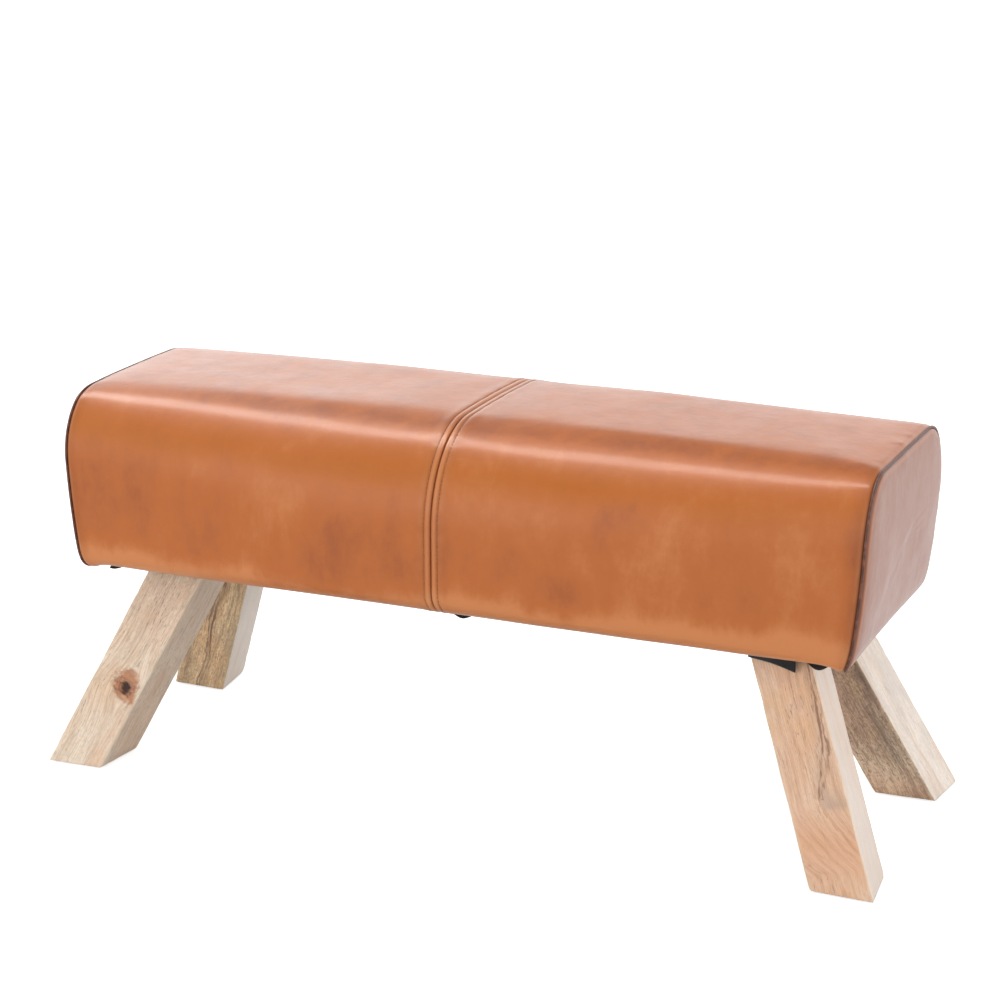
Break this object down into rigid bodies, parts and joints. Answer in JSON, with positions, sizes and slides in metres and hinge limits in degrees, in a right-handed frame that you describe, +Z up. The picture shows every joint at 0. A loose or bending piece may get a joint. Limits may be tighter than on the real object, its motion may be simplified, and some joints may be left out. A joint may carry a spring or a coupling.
{
  "type": "leather gym-horse bench",
  "caption": "Long upholstered leather block with rounded shoulders, piped end panels and a stitched centre seam, on splayed square wooden legs.",
  "frame": {"origin": "on the floor, under the centre of the bench", "axes": "+X along the bench, towards its right end; -Y the front, the long side that the picture shows; +Z up"},
  "size_m": [1.0796, 0.3918, 0.4889],
  "materials": {
    "leather_tan": "burnished tan leather, soft sheen",
    "leather_piping": "dark brown leather, soft sheen",
    "thread": "waxed brown polyester thread",
    "cotton": "plain woven cotton",
    "mango_wood": "pale mango wood, matt, brown grain",
    "felt": "pressed wool felt",
    "foam": "firm polyurethane foam",
    "wadding": "polyester wadding",
    "dust_fabric": "black non-woven cloth",
    "plywood": "birch plywood, unfinished",
    "pine": "planed pine, unfinished",
    "black_steel": "black powder coat",
    "zinc_steel": "zinc plated",
    "staple_steel": "galvanised wire"
  },
  "bodies": {
    "root": {"base_board": "plywood", "bearer_left": "pine", "bearer_right": "pine", "carcass_screws": "zinc_steel", "centre_rib": "plywood", "corner_blocks": "pine", "cover_left": "leather_tan", "cover_right": "leather_tan", "cover_staples": "staple_steel", "dust_cover": "dust_fabric", "dust_cover_staples": "staple_steel", "end_board_left": "plywood", "end_board_right": "plywood", "end_panel_left": "leather_tan", "end_panel_right": "leather_tan", "foam_back": "foam", "foam_end_left": "foam", "foam_end_right": "foam", "foam_front": "foam", "foam_top": "foam", "foot_pad_back_left": "felt", "foot_pad_back_right": "felt", "foot_pad_front_left": "felt", "foot_pad_front_right": "felt", "leg_back_left": "mango_wood", "leg_back_right": "mango_wood", "leg_front_left": "mango_wood", "leg_front_right": "mango_wood", "leg_plate_back_left": "black_steel", "leg_plate_back_right": "black_steel", "leg_plate_bolts": "zinc_steel", "leg_plate_front_left": "black_steel", "leg_plate_front_right": "black_steel", "leg_plate_washers": "zinc_steel", "leg_screws": "zinc_steel", "piping_cord_left": "cotton", "piping_cord_right": "cotton", "piping_left": "leather_piping", "piping_right": "leather_piping", "seam_tape": "cotton", "seam_thread": "thread", "side_board_back": "plywood", "side_board_front": "plywood", "t_nuts": "zinc_steel", "top_board": "plywood", "wadding_wrap": "wadding"}
  },
  "joints": []
}
